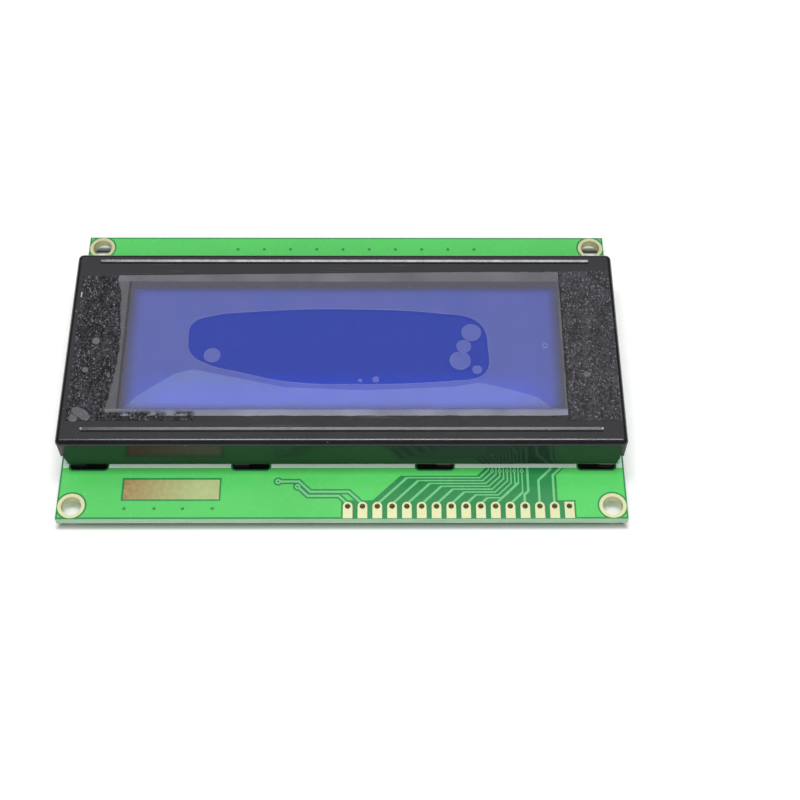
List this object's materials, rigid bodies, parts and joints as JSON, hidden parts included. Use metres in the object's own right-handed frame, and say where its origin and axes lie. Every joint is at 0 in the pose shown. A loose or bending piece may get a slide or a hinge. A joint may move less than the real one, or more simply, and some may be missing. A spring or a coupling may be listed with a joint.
{
  "type": "character lcd module",
  "caption": "Character LCD module: blue display behind a folded black steel bezel, on a green drilled board with a header row along one long edge.",
  "frame": {"origin": "centre of the bounding box in plan, on the plane that the bezel's tab feet stand on", "axes": "+X along the board's long side, +Z out of the display's face; the header row lies towards -Y"},
  "size_m": [0.098, 0.06, 0.0118],
  "materials": {
    "board_lacquer": "green lacquer on glass-epoxy laminate",
    "covered_copper": "copper under green lacquer",
    "covered_track": "copper track under green lacquer",
    "plating": "pale plated copper",
    "finger_gold": "flat gold",
    "print_mint": "printed line",
    "bezel_black": "glossy black",
    "film_clear": "clear peel-off film",
    "polarizer_blue": "blue transmissive",
    "cell_glass": "clear",
    "seal_grey": "cured sealant",
    "strip_rubber": "layered silicone",
    "tray_white": "white moulded",
    "reflector_white": "white reflecting sheet",
    "guide_clear": "clear moulded",
    "diffuser_white": "frosted sheet",
    "led_board_white": "white lacquer on laminate",
    "led_yellow": "phosphor in resin",
    "lead_tin": "tinned",
    "solder": "bright solder",
    "epoxy_black": "black epoxy",
    "chip_black": "glazed chip"
  },
  "bodies": {
    "root": {"pcb": "board_lacquer", "front_ground_plane": "covered_copper", "front_tracks": "covered_track", "header_pads": "plating", "mounting_rings": "plating", "contact_fingers": "finger_gold", "bezel_outline_print": "print_mint", "bezel": "bezel_black", "protective_film": "film_clear", "front_polarizer": "polarizer_blue", "front_glass": "cell_glass", "cell_seal": "seal_grey", "rear_glass": "cell_glass", "rear_polarizer": "polarizer_blue", "connector_strip_front": "strip_rubber", "connector_strip_rear": "strip_rubber", "backlight_tray": "tray_white", "reflector_sheet": "reflector_white", "light_guide": "guide_clear", "diffuser_sheet": "diffuser_white", "led_board": "led_board_white", "led_chips": "led_yellow", "backlight_leads": "lead_tin", "back_ground_plane": "covered_copper", "back_tracks": "covered_track", "controller_drop": "epoxy_black", "driver_drops": "epoxy_black", "chip_resistors": "chip_black", "chip_solder": "solder", "lead_solder": "solder"}
  },
  "joints": []
}
